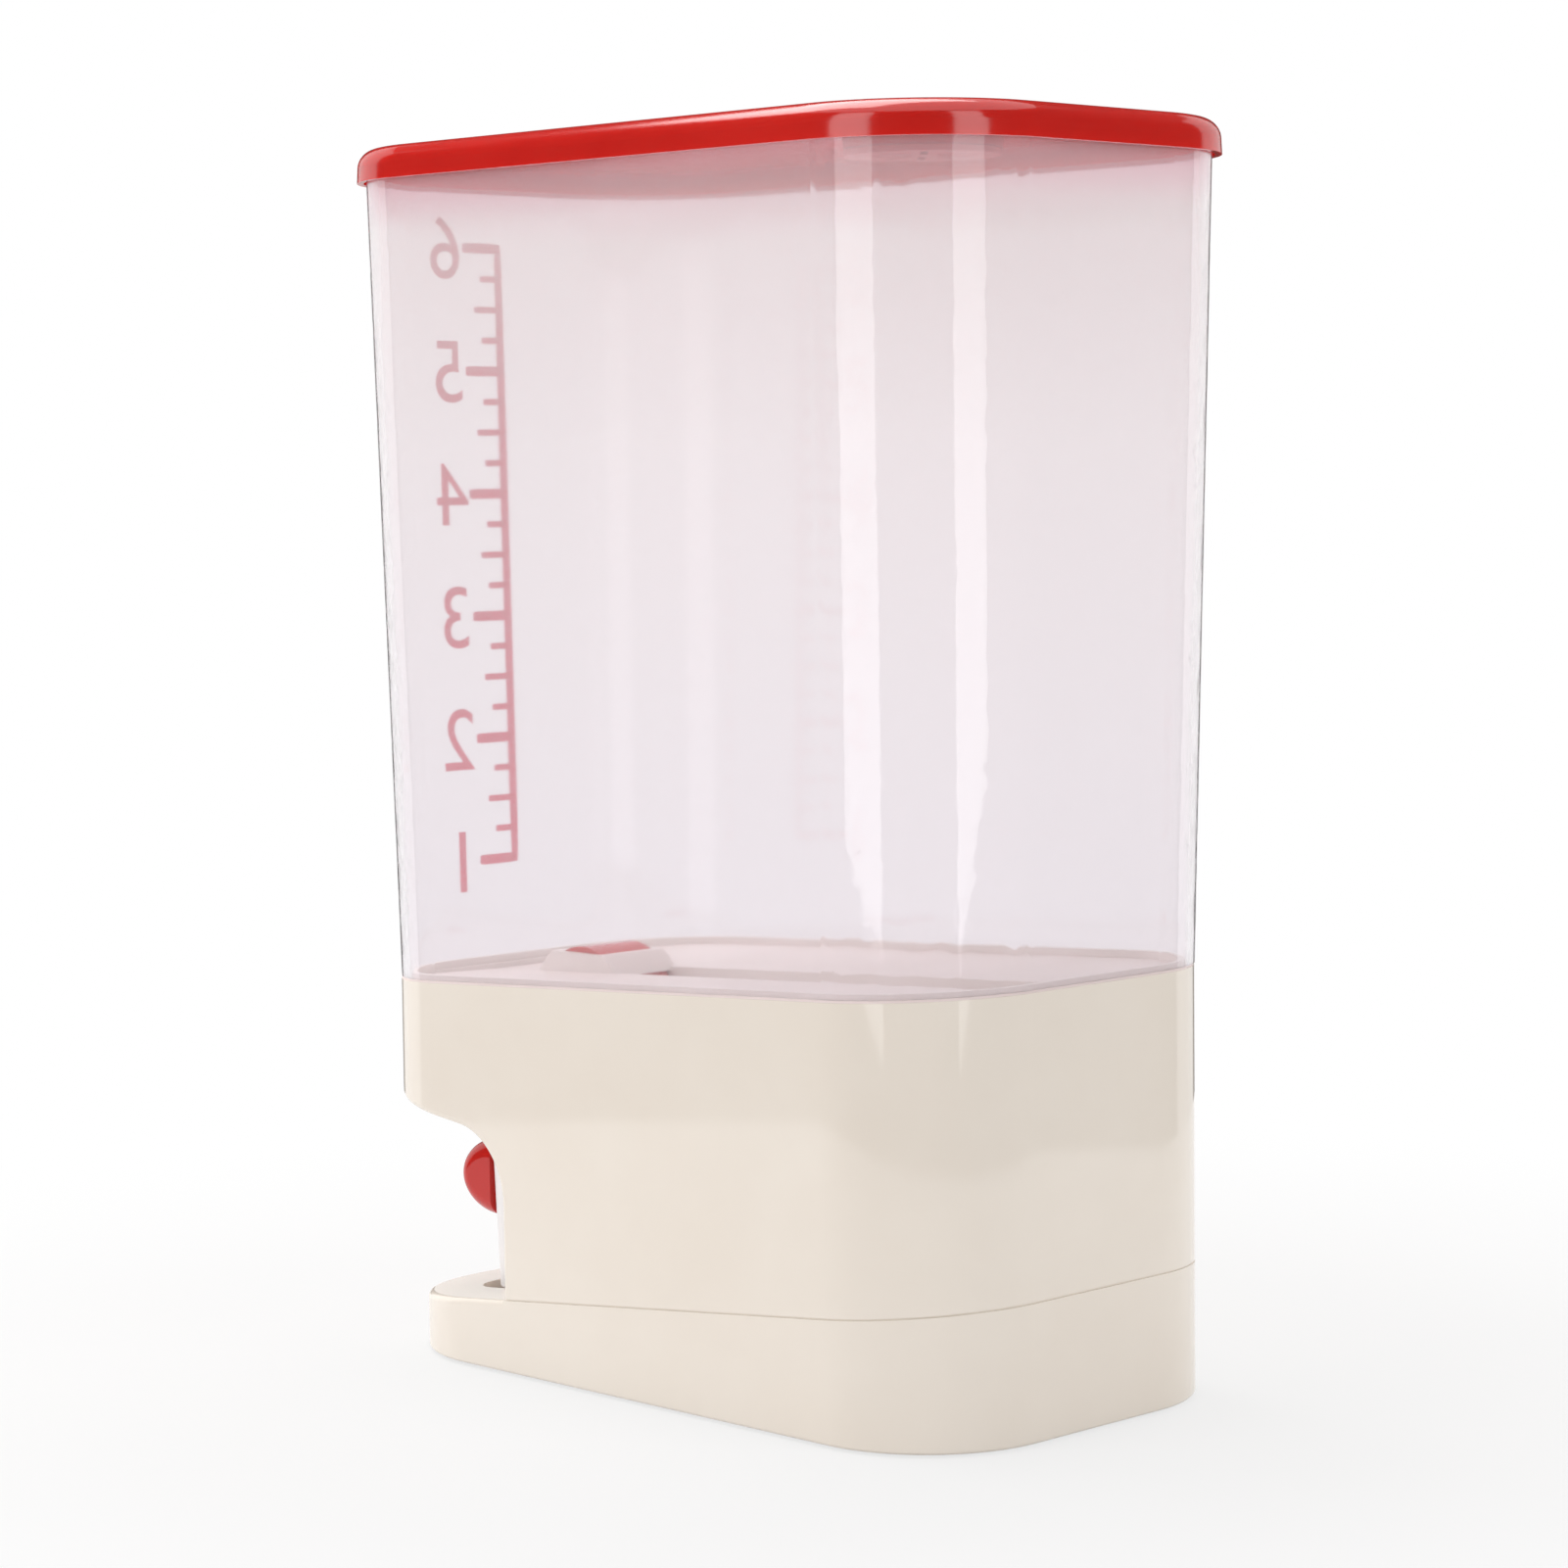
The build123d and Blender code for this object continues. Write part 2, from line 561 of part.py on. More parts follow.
def gate_housing():
    half = HOUSING_HALF_WIDTH
    bore_half = TROUGH_HALF_WIDTH
    shell = block(
        (-half, half), (GATE_Y - HOUSING_REACH, GATE_Y + HOUSING_REACH), (HOUSING_BOTTOM, JOINT_HEIGHT)
    )
    ear_top = joint_height(GATE_Y + HOUSING_REACH)
    ear_low = joint_height(GATE_Y - HOUSING_REACH) - DECK_THICKNESS - EAR_THICKNESS - EAR_LENGTH
    for x, y in EAR_PLACES:
        ear = block(
            (min(x - EAR_WIDTH / 2, 0), max(x + EAR_WIDTH / 2, 0)),
            (y - EAR_LENGTH / 2, y + EAR_LENGTH / 2),
            (ear_low, ear_top),
        )
        shell += above(ear, JOINT.offset(-DECK_THICKNESS - EAR_THICKNESS))
    shell = below(shell, JOINT.offset(-DECK_THICKNESS))
    rod_top = RACK_LINE + ROD_RADIUS + LUG_MARGIN
    shell += block(
        (-RACK_SIDE - ROD_RADIUS - LUG_MARGIN, -half),
        (LUG_FRONT, LUG_BACK),
        (RACK_LINE - ROD_RADIUS - LUG_MARGIN, rod_top),
    )
    flange_room = BUSH_FLANGE_RADIUS + SLIDE_GAP
    shell -= rod_x(flange_room, (-RACK_SIDE - ROD_RADIUS - LUG_MARGIN, -half), GATE_Y, GATE_Z)
    shell -= rod_y(
        ROD_RADIUS + SLIDE_GAP / 3, -RACK_SIDE, (LUG_FRONT - OVERRUN, LUG_BACK + OVERRUN), RACK_LINE
    )
    shelf_top = RACK_LINE + TIP - RACK_DEPTH - SLIDE_GAP
    shell += block(
        (half, RACK_SIDE + RACK_WIDTH / 2),
        (GATE_Y - TRAVEL, GATE_Y + TRAVEL),
        (shelf_top - HOUSING_WALL, shelf_top),
    )
    shell -= rod_x(BORE_RADIUS, (-bore_half, bore_half), GATE_Y, GATE_Z)
    shell -= block(
        (-bore_half, bore_half), (GATE_Y - BORE_RADIUS, GATE_Y + BORE_RADIUS), (GATE_Z, JOINT_HEIGHT)
    )
    shell -= block(
        (-bore_half, bore_half),
        (GATE_Y, GATE_Y + HOUSING_REACH + OVERRUN),
        (GATE_Z + TROUGH_LIP, JOINT_HEIGHT),
    )
    shell -= block(
        (-bore_half, bore_half),
        (GATE_Y - GATE_SLOT / 2, GATE_Y + GATE_SLOT / 2),
        (HOUSING_BOTTOM - OVERRUN, GATE_Z),
    )
    shell -= rod_x(BUSH_RADIUS + FIT_GAP, (-half - OVERRUN, half + OVERRUN), GATE_Y, GATE_Z)
    for x, y in EAR_PLACES:
        low = -DECK_THICKNESS - EAR_THICKNESS - OVERRUN / 2
        shell -= ear_screw_hole(x, y, SMALL_HOLE, low, EAR_THICKNESS + OVERRUN)
    return shell


def axle_bush(side):
    ends = sorted((side * TROUGH_HALF_WIDTH, side * HOUSING_HALF_WIDTH))
    flange = sorted((side * HOUSING_HALF_WIDTH, side * BUSH_END))
    bush = rod_x(BUSH_RADIUS, ends, GATE_Y, GATE_Z) + rod_x(BUSH_FLANGE_RADIUS, flange, GATE_Y, GATE_Z)
    return bush - rod_x(AXLE_RADIUS + 2 * FIT_GAP, (-BUSH_END, BUSH_END), GATE_Y, GATE_Z)


def rotary_gate():
    half = TROUGH_HALF_WIDTH - SLIDE_GAP
    slot_half = half - GATE_END_WALL
    plug = rod_x(GATE_RADIUS, (-half, half), GATE_Y, GATE_Z)
    plug -= block(
        (-slot_half, slot_half),
        (GATE_Y - GATE_RADIUS - OVERRUN, GATE_Y + GATE_RADIUS + OVERRUN),
        (GATE_Z - GATE_SLOT / 2, GATE_Z + GATE_SLOT / 2),
    )
    return plug - rod_x(AXLE_RADIUS + FIT_GAP, (-BUSH_END, BUSH_END), GATE_Y, GATE_Z)


AXLE_LEFT = -BUSH_END - SLIDE_GAP - CLIP_THICKNESS - AXLE_END
AXLE_RIGHT = PINION_END + SLIDE_GAP + CLIP_THICKNESS + AXLE_END


def gate_axle():
    return rod_x(AXLE_RADIUS, (AXLE_LEFT, AXLE_RIGHT), GATE_Y, GATE_Z)


def axle_clips():
    bore = rod_x(AXLE_RADIUS + FIT_GAP, (AXLE_LEFT, AXLE_RIGHT), GATE_Y, GATE_Z)
    left = AXLE_LEFT + AXLE_END
    right = AXLE_RIGHT - AXLE_END
    return [
        rod_x(CLIP_RADIUS, (left, left + CLIP_THICKNESS), GATE_Y, GATE_Z) - bore,
        rod_x(CLIP_RADIUS, (right - CLIP_THICKNESS, right), GATE_Y, GATE_Z) - bore,
    ]


def involute(angle):
    return math.tan(angle) - angle


def pinion():
    """Fifteen involute teeth; a gap faces straight down at rest, over a rack tooth."""
    base = PITCH_RADIUS * math.cos(math.radians(PRESSURE_ANGLE))
    tip = PITCH_RADIUS + TIP
    root = PITCH_RADIUS - ROOT
    half_tooth = (PITCH / 2 - BACKLASH / 2) / (2 * PITCH_RADIUS)
    at_pitch = involute(math.radians(PRESSURE_ANGLE))
    radii = [base + (tip - base) * step / FLANK_STEPS for step in range(FLANK_STEPS + 1)]
    flank = [(r, half_tooth + at_pitch - involute(math.acos(base / r))) for r in radii]
    flank = [(root, flank[0][1])] + flank
    points = []
    for tooth in range(PINION_TEETH):
        middle = (tooth + 1 / 2) * 2 * math.pi / PINION_TEETH - math.pi / 2
        sides = [(r, middle - a) for r, a in flank] + [(r, middle + a) for r, a in reversed(flank)]
        points += [(GATE_Y + r * math.cos(a), GATE_Z + r * math.sin(a)) for r, a in sides]
    face = Plane.YZ * make_face(Polyline(*points, close=True))
    gear = Pos(PINION_START, 0, 0) * extrude(face, PINION_WIDTH)
    gear += rod_x(HUB_RADIUS, (BUSH_END + SLIDE_GAP, PINION_START), GATE_Y, GATE_Z)
    return gear - rod_x(AXLE_RADIUS + FIT_GAP, (0, AXLE_RIGHT), GATE_Y, GATE_Z)


def rack():
    """Straight-sided teeth under the pinion, on a bar that runs back from the carrier."""
    lean = math.tan(math.radians(PRESSURE_ANGLE))
    half = PITCH / 4 - BACKLASH / 4
    low = RACK_LINE - ROOT
    high = RACK_LINE + TIP
    bottom = high - RACK_DEPTH
    points = [(CARRIER_BACK - FIT_GAP, bottom), (CARRIER_BACK - FIT_GAP, low)]
    for tooth in range(-RACK_LEAD_TEETH, RACK_TAIL_TEETH + 1):
        middle = GATE_Y + tooth * PITCH
        foot = half + ROOT * lean
        crest = half - TIP * lean
        points += [
            (middle - foot, low),
            (middle - crest, high),
            (middle + crest, high),
            (middle + foot, low),
        ]
    points += [(points[-1][0] + PITCH / 2, low), (points[-1][0] + PITCH / 2, bottom)]
    face = Plane.YZ * make_face(Polyline(*points, close=True))
    return Pos(RACK_SIDE - RACK_WIDTH / 2, 0, 0) * extrude(face, RACK_WIDTH)


def drop_chute():
    outer_x = TROUGH_HALF_WIDTH + CHUTE_WALL
    inner_x = TROUGH_HALF_WIDTH
    outer_y = GATE_SLOT / 2 + CHUTE_WALL
    inner_y = GATE_SLOT / 2
    tube = block((-outer_x, outer_x), (GATE_Y - outer_y, GATE_Y + outer_y), (CHUTE_BOTTOM, HOUSING_BOTTOM))
    return tube - block(
        (-inner_x, inner_x),
        (GATE_Y - inner_y, GATE_Y + inner_y),
        (CHUTE_BOTTOM - OVERRUN, HOUSING_BOTTOM + OVERRUN),
    )


def button_bezel():
    flange = rod_y(BEZEL_FLANGE_RADIUS, 0, (BODY_FRONT - BEZEL_FLANGE, BODY_FRONT), BUTTON_Z)
    flange = fillet(flange.edges().group_by(Axis.Y)[0], BEZEL_ROUND)
    ring = flange + rod_y(TUBE_OUTER, 0, (BODY_FRONT, TUBE_END), BUTTON_Z)
    return ring - rod_y(TUBE_INNER, 0, (BODY_FRONT - OVERRUN, TUBE_END + OVERRUN), BUTTON_Z)


def bezel_nut():
    start = BODY_FRONT + BODY_WALL
    nut = rod_y(NUT_RADIUS, 0, (start, start + NUT_THICKNESS), BUTTON_Z)
    nut = below(nut, Plane(origin=(0, 0, BUTTON_Z + TUBE_OUTER + NUT_FLAT_WALL)))
    nut = above(nut, Plane(origin=(0, 0, BUTTON_Z - TUBE_OUTER - NUT_FLAT_WALL)))
    return nut - rod_y(TUBE_OUTER + FIT_GAP, 0, (start - OVERRUN, start + OVERRUN), BUTTON_Z)


def push_button():
    front = BODY_FRONT - BUTTON_PROUD
    cap = rod_y(BUTTON_RADIUS, 0, (front, CARRIER_FRONT), BUTTON_Z)
    cap = fillet(cap.edges().group_by(Axis.Y)[0], BUTTON_ROUND)
    cap -= rod_y(
        BUTTON_RADIUS - BUTTON_WALL, 0, (front + BUTTON_WALL, CARRIER_FRONT + OVERRUN), BUTTON_Z
    )
    cap += rod_y(BUTTON_POST_RADIUS, 0, (front + BUTTON_WALL / 2, CARRIER_FRONT), BUTTON_Z)
    bite = (CARRIER_FRONT - CARRIER_SCREW_BITE - SLIDE_GAP, CARRIER_FRONT + OVERRUN)
    return cap - rod_y(SMALL_SCREW_RADIUS + FIT_GAP, 0, bite, BUTTON_Z)


def push_carrier():
    reach = RACK_SIDE + CARRIER_MARGIN
    plate = block(
        (-reach, reach),
        (CARRIER_FRONT, CARRIER_BACK),
        (RACK_LINE - CARRIER_HALF_HEIGHT, RACK_LINE + CARRIER_HALF_HEIGHT),
    )
    plate += rack()
    plate += rod_y(ROD_RADIUS, -RACK_SIDE, (CARRIER_BACK - FIT_GAP, GATE_Y + ROD_TAIL), RACK_LINE)
    plate -= rod_y(SMALL_HOLE, 0, (CARRIER_FRONT - OVERRUN, CARRIER_BACK + OVERRUN), BUTTON_Z)
    head_room = (CARRIER_BACK - SMALL_HEAD, CARRIER_BACK + OVERRUN)
    return plate - rod_y(SMALL_HEAD_RADIUS + HOLE_GAP, 0, head_room, BUTTON_Z)


def carrier_screw():
    head = rod_y(SMALL_HEAD_RADIUS, 0, (CARRIER_BACK - SMALL_HEAD, CARRIER_BACK), BUTTON_Z)
    bite = (CARRIER_FRONT - CARRIER_SCREW_BITE, CARRIER_BACK)
    return head + rod_y(SMALL_SCREW_RADIUS, 0, bite, BUTTON_Z)


def return_spring():
    """The return spring's space round the guide rod; it lies hidden inside the base."""
    span = (CARRIER_BACK, LUG_FRONT)
    inner = ROD_RADIUS + SPRING_GAP
    sleeve = rod_y(inner + SPRING_WALL, -RACK_SIDE, span, RACK_LINE)
    return sleeve - rod_y(inner, -RACK_SIDE, (span[0] - OVERRUN, span[1] + OVERRUN), RACK_LINE)


def lid_outline(inset):
    width = MOUTH_WIDTH + 2 * (LID_OVERHANG - inset)
    depth = MOUTH_DEPTH + 2 * (LID_OVERHANG - inset)
    return RectangleRounded(width, depth, MOUTH_CORNER + LID_OVERHANG - inset)


def mouth_ring(outer_inset, inner_inset, low, high):
    """A level ring that follows the hopper's rim."""
    ring = prism(hopper_outline(HOPPER_TOP, outer_inset), low, high)
    return ring - prism(hopper_outline(HOPPER_TOP, inner_inset), low - OVERRUN, high + OVERRUN)


def lid():
    cover = extrude(Pos(0, 0, LID_BOTTOM) * lid_outline(0), LID_TOP - LID_BOTTOM, taper=LID_FLARE)
    cover = fillet(cover.edges().group_by(Axis.Z)[-1], LID_ROUND)
    ceiling = LID_TOP - LID_CEILING
    room = extrude(
        Pos(0, 0, LID_BOTTOM) * lid_outline(LID_WALL), ceiling - LID_BOTTOM, taper=LID_FLARE
    )
    cover -= fillet(room.edges().group_by(Axis.Z)[-1], LID_ROUND - LID_WALL)
    cover -= prism(lid_outline(LID_WALL), LID_BOTTOM - OVERRUN, LID_BOTTOM)
    plug_outer = HOPPER_WALL + PLUG_GAP
    rib_low = HOPPER_TOP + LID_SEAL_THICKNESS
    cover += mouth_ring(LID_RIB_INSET, plug_outer + PLUG_WALL, rib_low, ceiling + FIT_GAP)
    return cover + mouth_ring(plug_outer, plug_outer + PLUG_WALL, PLUG_BOTTOM, ceiling + FIT_GAP)


def lid_seal():
    inner = HOPPER_WALL + PLUG_GAP - FIT_GAP
    return mouth_ring(LID_RIB_INSET, inner, HOPPER_TOP, HOPPER_TOP + LID_SEAL_THICKNESS)


def desiccant_cup():
    ceiling = LID_TOP - LID_CEILING
    cup = rod_z(HOLDER_RADIUS, 0, HOLDER_Y, (HOLDER_BOTTOM, ceiling))
    room = HOLDER_RADIUS - HOLDER_WALL
    return cup - rod_z(room, 0, HOLDER_Y, (HOLDER_BOTTOM - OVERRUN, ceiling - HOLDER_WALL))


def desiccant_cap():
    top = HOLDER_BOTTOM - SLIDE_GAP
    disc = rod_z(HOLDER_RADIUS, 0, HOLDER_Y, (top - CAP_THICKNESS, top))
    rim_outer = HOLDER_RADIUS - HOLDER_WALL - SLIDE_GAP
    rim = rod_z(rim_outer, 0, HOLDER_Y, (top - FIT_GAP, top + CAP_RIM_HEIGHT))
    rim -= rod_z(rim_outer - CAP_RIM_WALL, 0, HOLDER_Y, (0, LID_TOP))
    disc += rim
    slot = block(
        (VENT_INNER, VENT_OUTER),
        (-VENT_WIDTH / 2, VENT_WIDTH / 2),
        (top - CAP_THICKNESS - OVERRUN, top + OVERRUN),
    )
    for vent in range(VENT_COUNT):
        disc -= Pos(0, HOLDER_Y, 0) * Rot(0, 0, 360 * vent / VENT_COUNT) * slot
    return disc


def drawer_form(inset, low, high):
    """The drawer's drafted outside, or its inside when pulled in by the wall."""
    faces = []
    for height in (low, high):
        lean = DRAWER_DRAFT * (height - DRAWER_BOTTOM) / (DRAWER_TOP - DRAWER_BOTTOM) - inset
        front = DRAWER_FRONT - lean
        back = DRAWER_BACK + lean
        face = RectangleRounded(2 * (DRAWER_HALF_WIDTH + lean), back - front, DRAWER_CORNER + lean)
        faces.append(Pos(0, (front + back) / 2, height) * face)
    return loft(faces, ruled=True)


def rice_drawer():
    box = drawer_form(0, DRAWER_BOTTOM, DRAWER_TOP)
    box -= drawer_form(DRAWER_WALL, DRAWER_BOTTOM + DRAWER_WALL, DRAWER_TOP + OVERRUN)
    box += block(
        (-KEEL_HALF_WIDTH, KEEL_HALF_WIDTH),
        (DRAWER_FRONT + KEEL_END_GAP, DRAWER_BACK - KEEL_END_GAP),
        (RECESS_FLOOR + SLIDE_GAP, DRAWER_BOTTOM + FIT_GAP),
    )
    for side in (-1, 1):
        span = (DRAWER_FRONT - OVERRUN, DRAWER_FRONT + OVERRUN)
        box -= rod_y(SMALL_HOLE, side * HANDLE_SCREW_X, span, HANDLE_Z)
    return box


def drawer_handle():
    """A red bar of half-oval section that lies against the drawer's front."""
    section = Plane.YZ * Pos(DRAWER_FRONT, HANDLE_Z) * Ellipse(HANDLE_REACH, HANDLE_RADIUS)
    bar = extrude(section, amount=HANDLE_HALF_LENGTH, both=True)
    ends = [edge for edge in bar.edges() if abs(edge.center().X) > HANDLE_HALF_LENGTH - FIT_GAP]
    bar = fillet(ends, HANDLE_END_ROUND)
    bar -= drawer_form(0, DRAWER_BOTTOM, DRAWER_TOP)
    bar -= block(
        (-BODY_WIDTH, BODY_WIDTH), (DRAWER_FRONT, DRAWER_BACK), (0, JOINT_HEIGHT)
    )
    for side in (-1, 1):
        start = DRAWER_FRONT + DRAWER_WALL - HANDLE_SCREW_BITE - SLIDE_GAP
        bar -= rod_y(
            SMALL_SCREW_RADIUS + FIT_GAP, side * HANDLE_SCREW_X, (start, DRAWER_BACK), HANDLE_Z
        )
    return bar


def handle_screws():
    lean = DRAWER_DRAFT * (HANDLE_Z - DRAWER_BOTTOM) / (DRAWER_TOP - DRAWER_BOTTOM)
    seat = DRAWER_FRONT - lean + DRAWER_WALL + SLIDE_GAP / 2
    start = DRAWER_FRONT + DRAWER_WALL - HANDLE_SCREW_BITE
    screws = []
    for side in (-1, 1):
        x = side * HANDLE_SCREW_X
        head = rod_y(SMALL_HEAD_RADIUS, x, (seat, seat + SMALL_HEAD), HANDLE_Z)
        screws.append(head + rod_y(SMALL_SCREW_RADIUS, x, (start, seat + SMALL_HEAD), HANDLE_Z))
    return screws


def housing_screws():
    screws = []
    for x, y in BODY_SCREW_PLACES:
        seat = parting_height(y) - SEAT_DEPTH
        head = rod_z(SCREW_HEAD_RADIUS, x, y, (seat - SCREW_HEAD, seat))
        shank = rod_z(SCREW_RADIUS, x, y, (seat - SCREW_HEAD, parting_height(y) + SCREW_BITE))
        screws.append(head + shank)
    return screws


def plate_screws():
    screws = []
    for x, y in PLATE_SCREW_PLACES:
        head = rod_z(SCREW_HEAD_RADIUS, x, y, (FOOT_LIFT, FOOT_LIFT + COUNTERBORE))
        shank = rod_z(SCREW_RADIUS, x, y, (FOOT_LIFT, PLATE_TOP + PLATE_SCREW_BITE))
        screws.append(head + shank)
    return screws


def gate_screws():
    low = -DECK_THICKNESS - EAR_THICKNESS
    screws = []
    for x, y in EAR_PLACES:
        head = ear_screw_hole(x, y, SMALL_HEAD_RADIUS, low - SMALL_HEAD, SMALL_HEAD)
        length = SMALL_HEAD + EAR_THICKNESS + DECK_SCREW_BITE - SLIDE_GAP
        screws.append(head + ear_screw_hole(x, y, SMALL_SCREW_RADIUS, low - SMALL_HEAD, length))
    return screws


PARTS = {
    "base_housing": base_housing(),
    "base_tray": base_tray(),
    "bottom_plate": bottom_plate(),
    "rubber_feet": rubber_feet(),
    "hopper": hopper(),
    "hopper_seal": hopper_seal(),
    "hopper_floor": hopper_floor(),
    "gate_housing": gate_housing(),
    "axle_bush_left": axle_bush(-1),
    "axle_bush_right": axle_bush(1),
    "rotary_gate": rotary_gate(),
    "gate_axle": gate_axle(),
    "axle_clips": axle_clips(),
    "pinion": pinion(),
    "drop_chute": drop_chute(),
    "button_bezel": button_bezel(),
    "bezel_nut": bezel_nut(),
    "push_button": push_button(),
    "push_carrier": push_carrier(),
    "carrier_screw": carrier_screw(),
    "return_spring": return_spring(),
    "lid": lid(),
    "lid_seal": lid_seal(),
    "desiccant_cup": desiccant_cup(),
    "desiccant_cap": desiccant_cap(),
    "rice_drawer": rice_drawer(),
    "drawer_handle": drawer_handle(),
    "handle_screws": handle_screws(),
    "housing_screws": housing_screws(),
    "plate_screws": plate_screws(),
    "gate_screws": gate_screws(),
}

os.makedirs("parts", exist_ok=True)
for name, shape in PARTS.items():
    solids = shape if isinstance(shape, list) else [shape]
    pieces = [solid for item in solids for solid in item.solids()]
    export_step(Compound(children=pieces), f"parts/{name}.step")
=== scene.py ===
import bpy
import math
import numpy as np
from mathutils import Matrix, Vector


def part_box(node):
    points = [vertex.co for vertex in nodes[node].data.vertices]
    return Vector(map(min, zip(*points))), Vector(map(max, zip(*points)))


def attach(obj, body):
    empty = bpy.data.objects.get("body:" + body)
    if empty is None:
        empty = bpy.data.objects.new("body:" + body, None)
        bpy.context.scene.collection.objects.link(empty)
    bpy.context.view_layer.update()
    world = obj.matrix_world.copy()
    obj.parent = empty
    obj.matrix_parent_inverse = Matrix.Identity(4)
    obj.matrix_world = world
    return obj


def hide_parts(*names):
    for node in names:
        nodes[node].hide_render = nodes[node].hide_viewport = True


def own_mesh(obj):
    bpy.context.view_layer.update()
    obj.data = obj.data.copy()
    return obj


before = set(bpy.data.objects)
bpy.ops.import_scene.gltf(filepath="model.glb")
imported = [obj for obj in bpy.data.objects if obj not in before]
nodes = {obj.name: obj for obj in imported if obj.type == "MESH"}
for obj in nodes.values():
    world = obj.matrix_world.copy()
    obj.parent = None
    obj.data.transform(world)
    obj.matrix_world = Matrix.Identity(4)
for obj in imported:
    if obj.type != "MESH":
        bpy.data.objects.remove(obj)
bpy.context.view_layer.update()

# The base: a wedge-shaped tray closed by a bottom plate, and the hollow housing screwed down on it.
# Injection-moulded cream ABS from polished tools, so it is smooth, even and glossy.
# The tray, the housing, and the bezel and nut of the push button share one plastic.
MM_PER_METRE = 1000
CLOUD_DETAIL = 3.0
CLOUD_STOPS = (0.3, 0.7)
GRAIN_DETAIL = 2.0


def linear(code):
    """A hex sRGB colour as linear red, green, blue and alpha."""
    srgb = np.array([int(code[k:k + 2], 16) for k in (1, 3, 5)]) / 255
    value = np.where(srgb > 0.04045, ((srgb + 0.055) / 1.055) ** 2.4, srgb / 12.92)
    return (*value.tolist(), 1.0)


def emptied_tree(owner):
    """The node tree of a new material or world, with nothing in it yet."""
    owner.use_nodes = True
    owner.node_tree.nodes.clear()
    return owner.node_tree


def add(tree, kind, values=None, links=None, **settings):
    """Adds a shader node with its settings, its sockets' values and its incoming links."""
    node = tree.nodes.new("ShaderNode" + kind)
    for name, value in settings.items():
        setattr(node, name, value)
    for socket, value in (values or {}).items():
        node.inputs[socket].default_value = value
    for socket, source in (links or {}).items():
        tree.links.new(source, node.inputs[socket])
    return node


def clouds(tree, place, size_mm, detail):
    """Noise whose patches have this size in millimetres."""
    noise = add(tree, "TexNoise", {"Scale": MM_PER_METRE / size_mm, "Detail": detail}, {"Vector": place})
    return noise.outputs["Fac"]


def between(tree, source, ends):
    """Spreads a value from nought to one between two ends."""
    spread = add(tree, "MapRange", {"To Min": ends[0], "To Max": ends[1]}, {"Value": source})
    return spread.outputs["Result"]


def relief(tree, source, depth_mm):
    """Raises the surface by up to this depth in millimetres."""
    bump = add(tree, "Bump", {"Strength": 1.0, "Distance": depth_mm / MM_PER_METRE}, {"Height": source})
    return bump.outputs["Normal"]


def moulding(name, light, dark, cloud_mm, gloss, grain_mm, relief_mm, **values):
    """A moulded surface: colour clouds of one size, gloss between two roughnesses, and a fine relief."""
    material = bpy.data.materials.new(name)
    tree = emptied_tree(material)
    place = add(tree, "TexCoord").outputs["Object"]
    cloud = clouds(tree, place, cloud_mm, CLOUD_DETAIL)
    tint = add(tree, "ValToRGB", links={"Fac": cloud})
    for stop, position, colour in zip(tint.color_ramp.elements, CLOUD_STOPS, (dark, light)):
        stop.position = position
        stop.color = linear(colour)
    grain = clouds(tree, place, grain_mm, GRAIN_DETAIL)
    surface = add(
        tree,
        "BsdfPrincipled",
        values,
        {
            "Base Color": tint.outputs["Color"],
            "Roughness": between(tree, cloud, gloss),
            "Normal": relief(tree, grain, relief_mm),
        },
    )
    add(tree, "OutputMaterial", links={"Surface": surface.outputs["BSDF"]})
    return material


def finish(material, *names):
    """Gives these nodes of the frame one material in every slot they have."""
    for name in names:
        slots = nodes[name].data.materials
        slots.clear()
        slots.append(material)


# Polished ABS: soft wide reflections that waver a little over the shrinkage of the wall behind them.
cream_abs = moulding(
    "moulded_cream_abs", "#F1E8DD", "#EDE3D7", 60, (0.04, 0.07), 18, 0.006, IOR=1.53
)
finish(cream_abs, "base_tray", "base_housing", "button_bezel", "bezel_nut")

# Bottom plate: the same ABS from a spark-eroded tool, so its underside is matt with a fine even grain.
# The real grain is about 0.15 mm; it is drawn at 0.6 mm so that it shows.
matt_abs = moulding(
    "grained_cream_abs", "#E6DCCF", "#DFD4C6", 40, (0.48, 0.6), 0.6, 0.03, IOR=1.53
)
finish(matt_abs, "bottom_plate")

# Four round feet under the base keep it from sliding. Thermoplastic rubber, die-cut and stuck on.
# Dull and slightly dusty, with almost no highlight.
feet_rubber = moulding(
    "thermoplastic_rubber", "#8D8A88", "#7C7977", 9, (0.7, 0.85), 0.8, 0.04, IOR=1.5
)
finish(feet_rubber, "rubber_feet")

# Screws, the gate's axle and its clips: zinc-plated steel, turned or rolled and then plated bright.
# Cool grey metal whose plating breaks the gloss into soft patches.
zinc_steel = moulding(
    "zinc_plated_steel", "#C9CBCE", "#AFB2B7", 2.5, (0.22, 0.38), 0.5, 0.012, Metallic=1.0
)
finish(
    zinc_steel,
    "gate_axle",
    "axle_clips",
    "carrier_screw",
    "handle_screws",
    "housing_screws",
    "plate_screws",
    "gate_screws",
)

# Hopper floor with its trough and the gate's hood, the gate's housing and the drop chute under it.
# White food-grade ABS, satin-moulded, so rice slides and the floor shows no sharp reflections.
floor_abs = moulding(
    "satin_white_abs", "#E9E2DE", "#E2DAD5", 35, (0.3, 0.42), 1.2, 0.02, IOR=1.53
)
finish(floor_abs, "hopper_floor", "gate_housing", "drop_chute")

